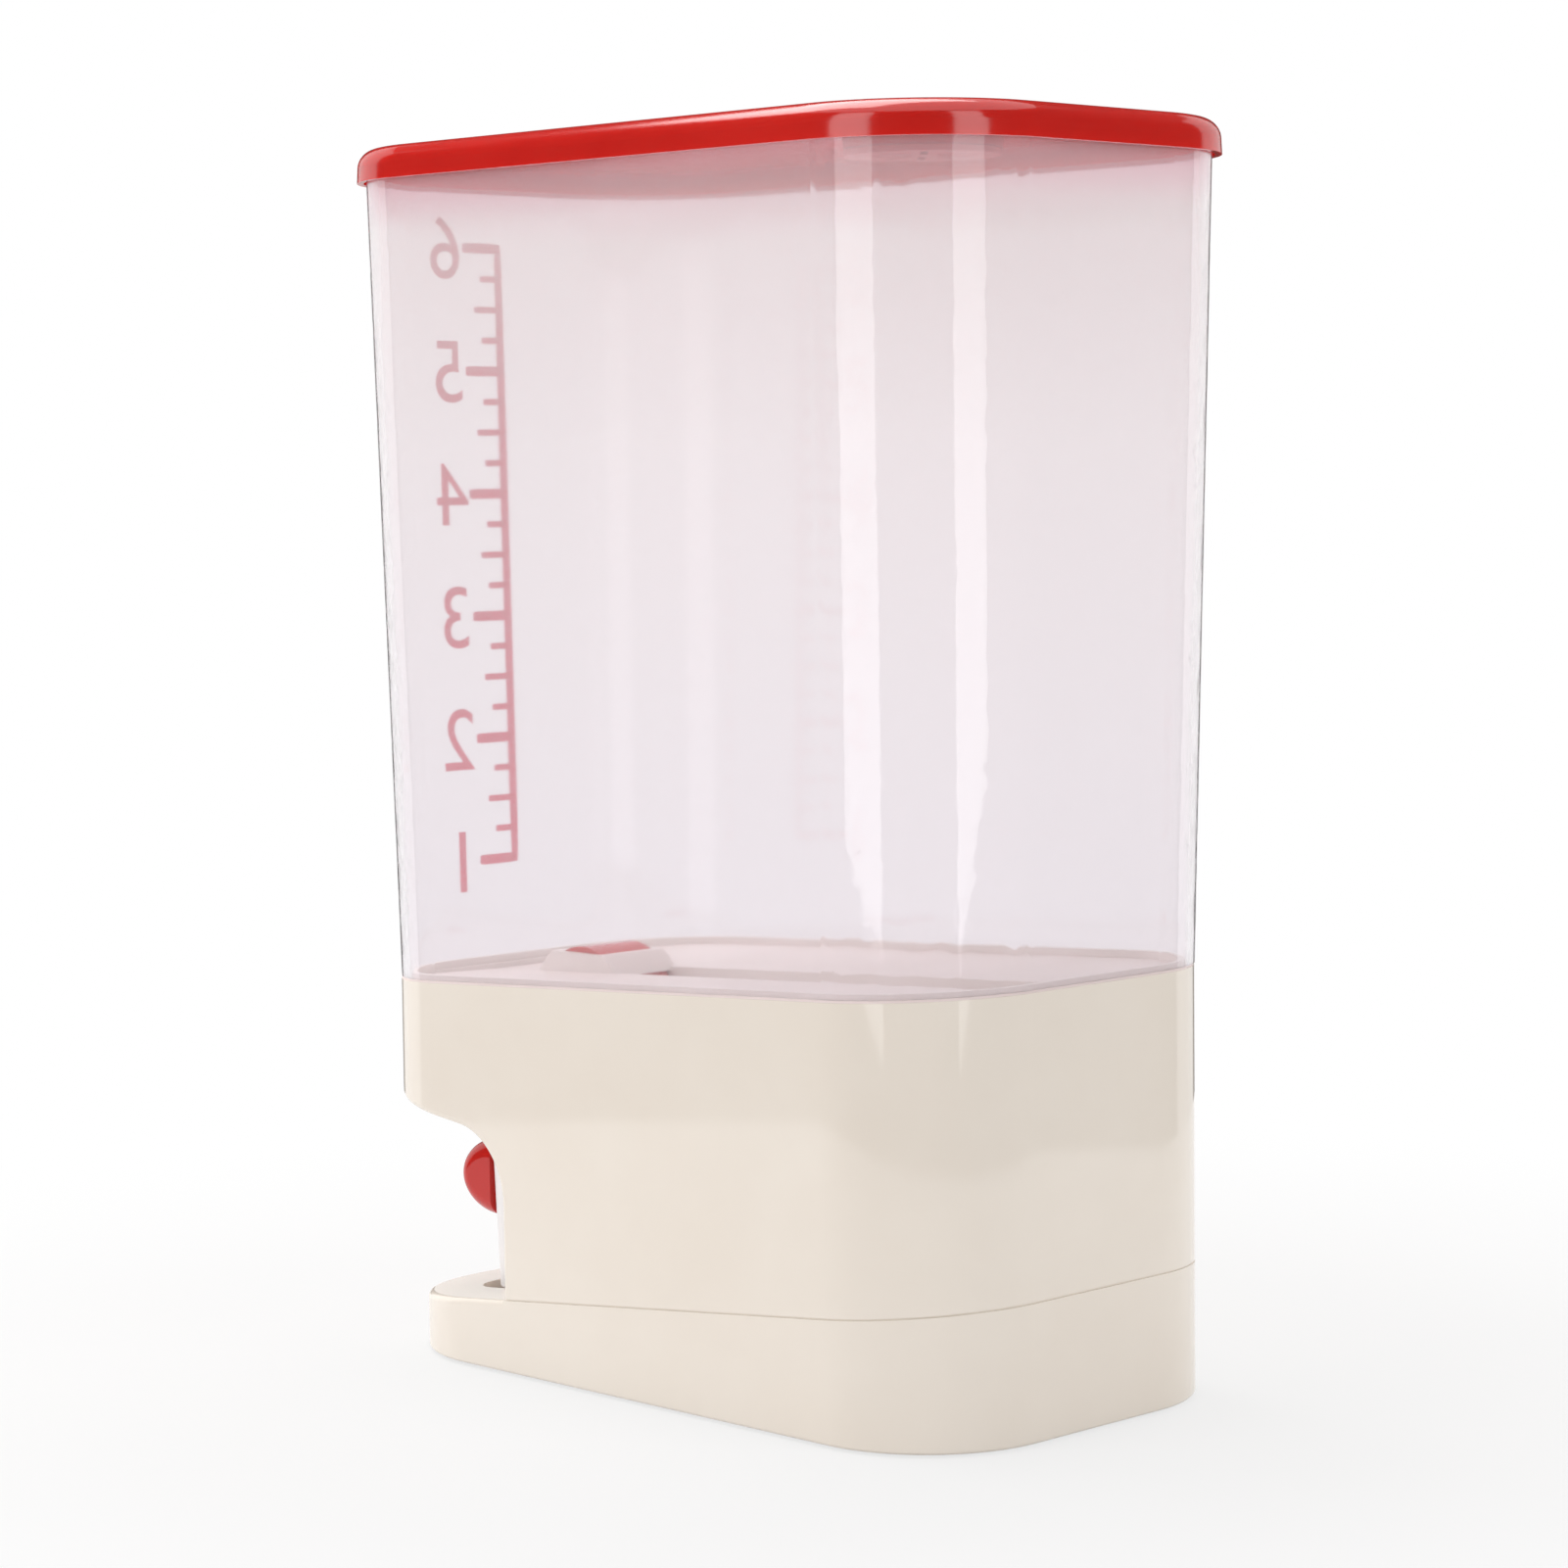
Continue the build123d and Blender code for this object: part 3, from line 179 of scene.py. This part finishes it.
# Axle bushes, pinion and the button's carrier with its rack: natural acetal, moulded.
# Milky white and waxy, with a soft broad highlight.
acetal = moulding(
    "natural_acetal", "#EFEDE6", "#E6E3DA", 12, (0.3, 0.4), 0.9, 0.015, IOR=1.48
)
finish(acetal, "axle_bush_left", "axle_bush_right", "pinion", "push_carrier")

# Rotary gate, push button and drawer handle: red ABS from highly polished tools.
# Deep even red whose gloss mirrors the softboxes with clean edges.
red_abs = moulding(
    "polished_red_abs", "#C4221B", "#BD1C16", 55, (0.1, 0.16), 16, 0.01, IOR=1.53
)
finish(red_abs, "rotary_gate", "push_button", "drawer_handle")

# The lid: the same red in thin polypropylene, moulded in one piece with its plug and sealing rib.
# A little light spreads in its skin, which softens the shading along its rounded edge.
red_pp = moulding(
    "translucent_red_polypropylene",
    "#CC241C",
    "#C51E17",
    55,
    (0.1, 0.16),
    16,
    0.01,
    **{
        "IOR": 1.49,
        "Specular IOR Level": 1.0,
        "Subsurface Weight": 0.9,
        "Subsurface Radius": (1.0, 0.4, 0.4),
        "Subsurface Scale": 0.006,
    },
)
finish(red_pp, "lid")

# Desiccant cup and its vented twist cap: red polypropylene from a blasted tool.
# Matt, so its face shows no mirror image of the hopper under it.
matt_pp = moulding(
    "matt_red_polypropylene", "#C8352F", "#BE2C26", 14, (0.55, 0.68), 0.8, 0.03, IOR=1.49
)
finish(matt_pp, "desiccant_cup", "desiccant_cap")

# Return spring on the carrier's guide rod: cold-coiled music wire, its end turns closed up.
# It sits between the carrier's plate and the housing's lug; the real spring shortens as the button is
# pressed, but this coil is drawn at its rest length only.
WIRE_RADIUS = 0.00045
WIRE_SIDES = 12
COIL_RADIUS = 0.0041
COIL_TURNS = 13
STEPS_PER_TURN = 28
END_PITCH_SHARE = 0.25


def grid_mesh(name, points, closed, capped=()):
    """A grid of points (rows, columns, 3) as quads; rows may close on themselves, end rows be capped."""
    rows, columns = points.shape[:2]
    index = np.arange(rows * columns).reshape(rows, columns)
    caps = [index[row, ::1 if row else -1].tolist() for row in capped]
    if closed:
        index = np.hstack((index, index[:, :1]))
    quads = np.stack((index[:-1, :-1], index[:-1, 1:], index[1:, 1:], index[1:, :-1]), axis=-1)
    mesh = bpy.data.meshes.new(name)
    mesh.from_pydata(points.reshape(-1, 3).tolist(), [], quads.reshape(-1, 4).tolist() + caps)
    mesh.polygons.foreach_set("use_smooth", np.ones(len(mesh.polygons), dtype=bool))
    mesh.update()
    return mesh


def full_circle(steps):
    """Angles evenly round a circle, without the last one that would repeat the first."""
    return np.linspace(0, 2 * np.pi, steps + 1)[:-1]


def new_object(name, data):
    """A new object in the scene, at the origin."""
    item = bpy.data.objects.new(name, data)
    bpy.context.scene.collection.objects.link(item)
    return item


def coil(centre_x, centre_z, front, back):
    """A wire circle carried along a helix about Y, its pitch closed up over the first and last turn."""
    turn = np.linspace(0, 1, COIL_TURNS * STEPS_PER_TURN + 1) * COIL_TURNS
    pitch = np.clip(np.minimum(turn, COIL_TURNS - turn), END_PITCH_SHARE, 1.0)
    rise = np.concatenate(([0], np.cumsum((pitch[1:] + pitch[:-1]) / 2)))
    along = front + WIRE_RADIUS + (back - front - 2 * WIRE_RADIUS) * rise / rise[-1]
    angle = 2 * np.pi * turn
    around = full_circle(WIRE_SIDES)
    radius = COIL_RADIUS + WIRE_RADIUS * np.cos(around)
    x = centre_x + np.cos(angle)[:, None] * radius
    z = centre_z + np.sin(angle)[:, None] * radius
    y = along[:, None] + WIRE_RADIUS * np.sin(around)
    return np.stack((x, y, z), axis=-1)


spring_low, spring_high = (np.array(corner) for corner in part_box("return_spring"))
spring_mid = (spring_low + spring_high) / 2
spring_points = coil(spring_mid[0], spring_mid[2], spring_low[1], spring_high[1])
spring_mesh = grid_mesh("return_spring_coil", spring_points, True, (0, -1))
spring = new_object("return_spring_coil", spring_mesh)
# Music wire: bright drawn steel with a dark oiled cast.
music_wire = moulding(
    "music_wire", "#A4A6A8", "#85878A", 1.5, (0.25, 0.4), 0.4, 0.01, Metallic=1.0
)
spring_mesh.materials.append(music_wire)
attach(spring, "base")
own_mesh(spring)
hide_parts("return_spring")

# Hopper: one deep clear moulding that widens to its mouth, set into the base on a seal.
# Styrene-acrylonitrile, tinted faintly rose; a fine haze in the wall veils what lies behind it.
HOPPER_LOW = 0.123
HOPPER_HIGH = 0.3914
# The wall's colour by height: rose-white, a touch paler higher up, and in its last 20 mm a painted glow
# of the lid's red light, deepest at the rim.
ROSE_WHITE_AND_PAINTED_LID_GLOW = ((HOPPER_LOW, "#F9F6F9"), (0.371, "#FDF9FA"), (HOPPER_HIGH, "#F8DCE4"))
# The share of light that goes straight through, by height. The rim is filled last and coldest, so the
# haze thickens towards it.
CLEAR_SHARES = ((0.2, 0.92), (0.3, 0.885), (0.35, 0.8), (HOPPER_HIGH, 0.765))
FLOW_MM = 45
FLOW_DETAIL = 1.0
FLOW_RELIEF_MM = 0.006
FLOW_GLOSS = (0.03, 0.06)


def set_stops(ramp, rows):
    """Sets a colour ramp's stops from rows of a height on the hopper and a linear colour."""
    ramp.elements.remove(ramp.elements[1])
    for row, (level, colour) in enumerate(rows):
        position = (level - HOPPER_LOW) / (HOPPER_HIGH - HOPPER_LOW)
        stop = ramp.elements.new(position) if row else ramp.elements[0]
        stop.position = position
        stop.color = colour


def either(tree, first, second):
    """The larger of two values, so one where either ray is of its kind."""
    larger = add(tree, "Math", links={0: first, 1: second}, operation="MAXIMUM")
    return larger.outputs[0]


clear_san = bpy.data.materials.new("clear_styrene_acrylonitrile")
tree = emptied_tree(clear_san)
place = add(tree, "TexCoord").outputs["Object"]
height = add(tree, "SeparateXYZ", links={"Vector": place}).outputs["Z"]
rise = add(
    tree, "MapRange", {"From Min": HOPPER_LOW, "From Max": HOPPER_HIGH}, {"Value": height}
)
# The wall's colour ramp by height; its top stop is a painted red glow from the lid, not a tint of the
# plastic.
tint = add(tree, "ValToRGB", links={"Fac": rise.outputs["Result"]})
set_stops(tint.color_ramp, [(level, linear(code)) for level, code in ROSE_WHITE_AND_PAINTED_LID_GLOW])
haze = add(tree, "ValToRGB", links={"Fac": rise.outputs["Result"]})
set_stops(haze.color_ramp, [(level, (share, share, share, 1)) for level, share in CLEAR_SHARES])
flow = clouds(tree, place, FLOW_MM, FLOW_DETAIL)
surface = add(
    tree,
    "BsdfPrincipled",
    {"IOR": 1.57, "Specular IOR Level": 0.4},
    {
        "Transmission Weight": haze.outputs["Color"],
        "Base Color": tint.outputs["Color"],
        "Roughness": between(tree, flow, FLOW_GLOSS),
        "Normal": relief(tree, flow, FLOW_RELIEF_MM),
    },
)
# Light reaches the inside straight through the wall, so that it isn't lost in the refraction.
ray = add(tree, "LightPath").outputs
open_wall = add(tree, "BsdfTransparent", {"Color": linear("#FCF9FA")})
wall = add(
    tree,
    "MixShader",
    links={
        0: either(tree, ray["Is Shadow Ray"], ray["Is Diffuse Ray"]),
        1: surface.outputs["BSDF"],
        2: open_wall.outputs["BSDF"],
    },
)
add(tree, "OutputMaterial", links={"Surface": wall.outputs["Shader"]})
finish(clear_san, "hopper")

# Seal under the hopper: a moulded silicone ring.
# Translucent milky white, soft-looking, with a faint dusty bloom.
silicone = moulding(
    "moulded_silicone",
    "#F4E6E4",
    "#EEDFDD",
    15,
    (0.4, 0.52),
    0.7,
    0.015,
    **{"IOR": 1.41, "Transmission Weight": 0.1},
)
finish(silicone, "hopper_seal")

# The lid's seal is the same silicone, so thin that the red it sits on comes through it.
rose_silicone = moulding(
    "thin_silicone_on_red", "#EDBFBF", "#E6B5B5", 15, (0.4, 0.52), 0.7, 0.015, IOR=1.41
)
finish(rose_silicone, "lid_seal")

# Level scale on the hopper's front wall: a rule, ticks and plain numbers, read from the front.
# Screen-printed in one pass of red ink on the outside, so it is thin, flat and slightly satin.
SCALE_LEFT = -0.004
SCALE_LOW = 0.150
SCALE_STEP = 0.042
SCALE_MARKS = 6
FIRST_MARK_SHARE = 0.2
MINOR_TICKS = 4
RULE_WIDTH = 0.0034
RULE_LAP_SHARE = 0.6
MAJOR_REACH = 0.014
MIDDLE_REACH = 0.0095
MINOR_REACH = 0.0065
MAJOR_HALF = 0.0017
MINOR_HALF = 0.0011
NUMBER_HEIGHT = 0.021
NUMBER_OFFSET = 0.0252
FIGURE_HEIGHT_SHARE = 0.69
CORNER_POWER = 8
INK_THICKNESS = 0.00006
WALL_FOOT_Y = -0.1343
WALL_FOOT_Z = 0.1296
WALL_LEAN = 0.00495 / 0.2574


def on_front_wall(points):
    """Flat print (across, up, out) laid on the leaning front wall, its face towards -Y."""
    across, up, out = points[..., 0], points[..., 1], points[..., 2]
    y = WALL_FOOT_Y - WALL_LEAN * (up - WALL_FOOT_Z) - out - INK_THICKNESS / 2
    return np.stack((across, y, up), axis=-1)


def printed_bars(left, right, low, high, steps=24):
    """Bars with softened corners: each outline is a superellipse, in an under and an upper ring."""
    angle = full_circle(steps) + np.pi / steps
    round_x = np.sign(np.cos(angle)) * np.abs(np.cos(angle)) ** (2 / CORNER_POWER)
    round_z = np.sign(np.sin(angle)) * np.abs(np.sin(angle)) ** (2 / CORNER_POWER)
    x = ((left + right) / 2)[:, None] + ((right - left) / 2)[:, None] * round_x
    z = ((low + high) / 2)[:, None] + ((high - low) / 2)[:, None] * round_z
    under = np.stack((x, z, np.zeros_like(x)), axis=-1)
    upper = np.stack((x, z, np.full_like(x, INK_THICKNESS)), axis=-1)
    points = np.stack((under, upper), axis=1)
    index = np.arange(points[..., 0].size).reshape(points.shape[:3])
    after = np.roll(index, -1, axis=2)
    sides = np.stack((index[:, 0], after[:, 0], after[:, 1], index[:, 1]), axis=-1)
    faces = sides.reshape(-1, 4).tolist() + index[:, 1].tolist() + index[:, 0, ::-1].tolist()
    return points.reshape(-1, 3), faces


steps_up = np.arange((SCALE_MARKS - 1) * MINOR_TICKS + 1)
major = steps_up % MINOR_TICKS == 0
tick_level = SCALE_LOW + SCALE_STEP * (FIRST_MARK_SHARE + steps_up / MINOR_TICKS)
tick_reach = np.where(major, MAJOR_REACH, np.where(steps_up % 2 == 0, MIDDLE_REACH, MINOR_REACH))
tick_half = np.where(major, MAJOR_HALF, MINOR_HALF)
# The rule is the last bar; the ticks start inside it.
bar_left = np.append(np.full(tick_level.shape, SCALE_LEFT + RULE_WIDTH * RULE_LAP_SHARE), SCALE_LEFT)
bar_right = np.append(SCALE_LEFT + RULE_WIDTH + tick_reach, SCALE_LEFT + RULE_WIDTH)
bar_low = np.append(tick_level - tick_half, tick_level[0] - MAJOR_HALF)
bar_high = np.append(tick_level + tick_half, tick_level[-1] + MAJOR_HALF)
bar_points, bar_faces = printed_bars(bar_left, bar_right, bar_low, bar_high)
bar_mesh = bpy.data.meshes.new("level_ticks")
bar_mesh.from_pydata(on_front_wall(bar_points).tolist(), [], bar_faces)
level_pieces = [new_object("level_ticks", bar_mesh)]

for mark in range(SCALE_MARKS):
    words = bpy.data.curves.new(f"level_number_{mark + 1}", "FONT")
    words.body = str(mark + 1)
    words.size = NUMBER_HEIGHT / FIGURE_HEIGHT_SHARE
    words.extrude = INK_THICKNESS / 2
    words.align_x = "CENTER"
    flat = new_object(words.name, words)
    bpy.context.view_layer.update()
    figure = bpy.data.meshes.new_from_object(flat)
    bpy.data.objects.remove(flat)
    corners = np.empty(len(figure.vertices) * 3)
    figure.vertices.foreach_get("co", corners)
    corners = corners.reshape(-1, 3)
    corners[:, 0] += SCALE_LEFT + NUMBER_OFFSET
    corners[:, 1] += tick_level[mark * MINOR_TICKS] - NUMBER_HEIGHT / 2
    corners[:, 2] += INK_THICKNESS / 2
    figure.vertices.foreach_set("co", on_front_wall(corners).ravel())
    figure.update()
    level_pieces.append(new_object(f"level_number_{mark + 1}", figure))

# Screen ink: opaque red with the faint tooth of the mesh it was pushed through, drawn at 0.5 mm.
screen_ink = moulding(
    "screen_printed_ink", "#F0245A", "#E81C52", 8, (0.38, 0.5), 0.5, 0.01, IOR=1.5
)
for piece in level_pieces:
    piece.data.materials.clear()
    piece.data.materials.append(screen_ink)
    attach(piece, "base")

# Rice drawer: a drafted box on a keel that runs in the tray's groove, pulled out by its red handle.
# White polypropylene, moulded thin, satin and a little waxy.
white_pp = moulding(
    "moulded_polypropylene", "#F4F2F2", "#EDEAEB", 22, (0.28, 0.38), 1.0, 0.015, IOR=1.49
)
finish(white_pp, "rice_drawer")

# Studio floor: a round pale sheet, a hair under the feet. To the eye it fades to white away from the
# object, and it keeps the object's soft shadow close in.
FLOOR_RADIUS = 0.6
FLOOR_LEVEL = -0.0003
FLOOR_RINGS = 25
INNER_RING_SHARE = 0.04
STUDIO_SPOKES = 72
FADE_START = 0.2
FADE_END = 0.52
NEAR_WHITE_SHARE = 0.74


def seen_rays(tree):
    """One for what is seen, straight, in gloss or through clear plastic, and nought for what lights."""
    ray = add(tree, "LightPath").outputs
    seen = either(tree, ray["Is Camera Ray"], ray["Is Glossy Ray"])
    return either(tree, seen, ray["Is Transmission Ray"])


ring = np.linspace(INNER_RING_SHARE, 1, FLOOR_RINGS)[:, None] * FLOOR_RADIUS
spoke = full_circle(STUDIO_SPOKES)
level = np.full((FLOOR_RINGS, STUDIO_SPOKES), FLOOR_LEVEL)
floor_points = np.stack((ring * np.cos(spoke), ring * np.sin(spoke), level), axis=-1)
floor_mesh = grid_mesh("studio_floor", floor_points, True, (0,))
studio_floor = new_object("studio_floor", floor_mesh)
paper = bpy.data.materials.new("matt_white_paper")
tree = emptied_tree(paper)
place = add(tree, "TexCoord").outputs["Object"]
distance = add(tree, "VectorMath", links={0: place}, operation="LENGTH").outputs["Value"]
fade = add(
    tree,
    "MapRange",
    {"From Min": FADE_START, "From Max": FADE_END, "To Min": NEAR_WHITE_SHARE, "To Max": 1.0},
    {"Value": distance},
    interpolation_type="SMOOTHSTEP",
)
share = add(
    tree, "Math", links={0: seen_rays(tree), 1: fade.outputs["Result"]}, operation="MULTIPLY"
)
matt = add(tree, "BsdfDiffuse", {"Color": linear("#CFCECD")})
white = add(tree, "Emission", {"Color": linear("#FFFFFF"), "Strength": 1.0})
both = add(
    tree, "MixShader", links={0: share.outputs[0], 1: matt.outputs[0], 2: white.outputs[0]}
)
add(tree, "OutputMaterial", links={"Surface": both.outputs[0]})
floor_mesh.materials.append(paper)

# Studio wall: a dark ring of cloth far outside the view. Only gloss sees it, so that the softboxes
# stand out in the polished plastic as they do in a darkened room.
WALL_RADIUS = 3.0
WALL_FOOT = -1.5
WALL_TOP = 3.2
WALL_ROWS = 9


def hang(name, points, closed, colour, strength, through_clear):
    """An even glow that gloss sees, and clear plastic too if so set, but that lights nothing."""
    mesh = grid_mesh(name, points, closed)
    cloth = new_object(name, mesh)
    material = bpy.data.materials.new(name)
    tree = emptied_tree(material)
    light = add(tree, "Emission", {"Color": linear(colour), "Strength": strength})
    add(tree, "OutputMaterial", links={"Surface": light.outputs[0]})
    mesh.materials.append(material)
    cloth.visible_camera = False
    cloth.visible_diffuse = False
    cloth.visible_transmission = through_clear
    cloth.visible_shadow = False


rows = np.linspace(WALL_FOOT, WALL_TOP, WALL_ROWS)[:, None]
wall_points = np.stack(
    np.broadcast_arrays(WALL_RADIUS * np.cos(spoke), WALL_RADIUS * np.sin(spoke), rows), axis=-1
)
hang("studio_wall", wall_points, True, "#454442", 1.0, False)

# Softboxes as lamps: one tall box to either side of the camera, two on the far side, a wide one
# overhead. Each row of the tall ones is azimuth, distance, width and radiance.
BOX_TOP = 1.6
OVERHEAD_SIZE = 1.4
OVERHEAD_RADIANCE = 3.8
OVERHEAD_PLACE = (0, -0.7, 1.75)


def softbox(name, width, tall, radiance):
    """A rectangular lamp whose power gives its face this radiance."""
    lamp = bpy.data.lights.new(name, "AREA")
    lamp.shape = "RECTANGLE"
    lamp.size = width
    lamp.size_y = tall
    lamp.energy = radiance * math.pi * width * tall
    return new_object(name, lamp)


for azimuth, distance, width, radiance in (
    (-14.0, 1.5, 0.95, 2.3),
    (102.0, 1.5, 0.75, 2.45),
    (190.0, 1.7, 0.9, 1.8),
    (265.0, 1.7, 0.9, 2.4),
):
    box = softbox(f"softbox_{azimuth:.0f}", width, BOX_TOP, radiance)
    angle = math.radians(azimuth)
    out = np.array((math.cos(angle), math.sin(angle), 0.0))
    turned = np.eye(4)
    turned[:3, 0] = (-out[1], out[0], 0.0)
    turned[:3, 1] = (0, 0, 1)
    turned[:3, 2] = out
    turned[:3, 3] = out * distance + np.array((0, 0, BOX_TOP / 2))
    box.matrix_world = Matrix(turned.tolist())
    box.visible_glossy = False
    box.visible_transmission = False
softbox("softbox_overhead", OVERHEAD_SIZE, OVERHEAD_SIZE, OVERHEAD_RADIANCE).location = OVERHEAD_PLACE

# The softboxes' front cloths as polish sees them, and a low card that the tray's top mirrors.
# The near pair's lower hems hang at a slant, and the clear wall shows that pair through it too. Each
# row is azimuth, distance, half width, the hem's two heights, the top's height, radiance, seen through.
CLOTH_STEPS = 13
for azimuth, distance, half, hem_start, hem_end, top, radiance, through_clear in (
    (0.0, 1.5, 0.385, -0.02, -0.1, 1.6, 1.85, True),
    (81.0, 1.5, 0.305, -0.1, 0.045, 1.6, 1.85, True),
    (179.0, 1.7, 0.62, -0.6, -0.6, 1.6, 0.85, False),
    (271.0, 1.7, 0.62, -0.6, -0.6, 1.6, 0.85, False),
    (231.0, 1.7, 0.16, -0.05, -0.05, 0.3, 0.75, False),
):
    angle = math.radians(azimuth)
    across = np.linspace(-half, half, CLOTH_STEPS)[:, None]
    climb = np.linspace(0, 1, CLOTH_STEPS)
    hem = hem_start + (hem_end - hem_start) * (across + half) / (2 * half)
    x = distance * math.cos(angle) - across * math.sin(angle)
    y = distance * math.sin(angle) + across * math.cos(angle)
    cloth_points = np.stack(np.broadcast_arrays(x, y, hem + (top - hem) * climb), axis=-1)
    hang(f"softbox_cloth_{azimuth:.0f}", cloth_points, False, "#FFFFFF", radiance, through_clear)

# World: level fill on the object; white to the eye, in gloss and through clear plastic.
FILL = 0.5
world = bpy.data.worlds.new("studio_white")
bpy.context.scene.world = world
tree = emptied_tree(world)
fill = add(tree, "Background", {"Color": linear("#FFFFFF"), "Strength": FILL})
white = add(tree, "Background", {"Color": linear("#FFFFFF"), "Strength": 1.0})
both = add(
    tree, "MixShader", links={0: seen_rays(tree), 1: fill.outputs[0], 2: white.outputs[0]}
)
add(tree, "OutputWorld", links={"Surface": both.outputs[0]})
bpy.context.scene.view_settings.view_transform = "Standard"

# Camera: the photograph's own view, from the back corner on the object's right, a little below the lid.
CAMERA_PLACE = np.array((0.919165, 0.929504, 0.293700))
CAMERA_FORWARD = np.array((-0.70121, -0.70857, -0.07892))
CAMERA_AZIMUTH = math.radians(45.299)
CAMERA_ROLL = -0.0118
CAMERA_LENS = 93.01
SENSOR_WIDTH = 36.0
NEAR_CLIP = 0.01
forward = CAMERA_FORWARD / np.linalg.norm(CAMERA_FORWARD)
level = np.array((-math.sin(CAMERA_AZIMUTH), math.cos(CAMERA_AZIMUTH), 0.0))
upright = np.cross(level, forward)
turned = np.eye(4)
turned[:3, 0] = math.cos(CAMERA_ROLL) * level + math.sin(CAMERA_ROLL) * upright
turned[:3, 1] = math.cos(CAMERA_ROLL) * upright - math.sin(CAMERA_ROLL) * level
turned[:3, 2] = -forward
turned[:3, 3] = CAMERA_PLACE
lens = bpy.data.cameras.new("photo_camera")
lens.sensor_fit = "HORIZONTAL"
lens.sensor_width = SENSOR_WIDTH
lens.lens = CAMERA_LENS
lens.clip_start = NEAR_CLIP
camera = new_object("photo_camera", lens)
camera.matrix_world = Matrix(turned.tolist())
bpy.context.scene.camera = camera

bpy.context.view_layer.update()
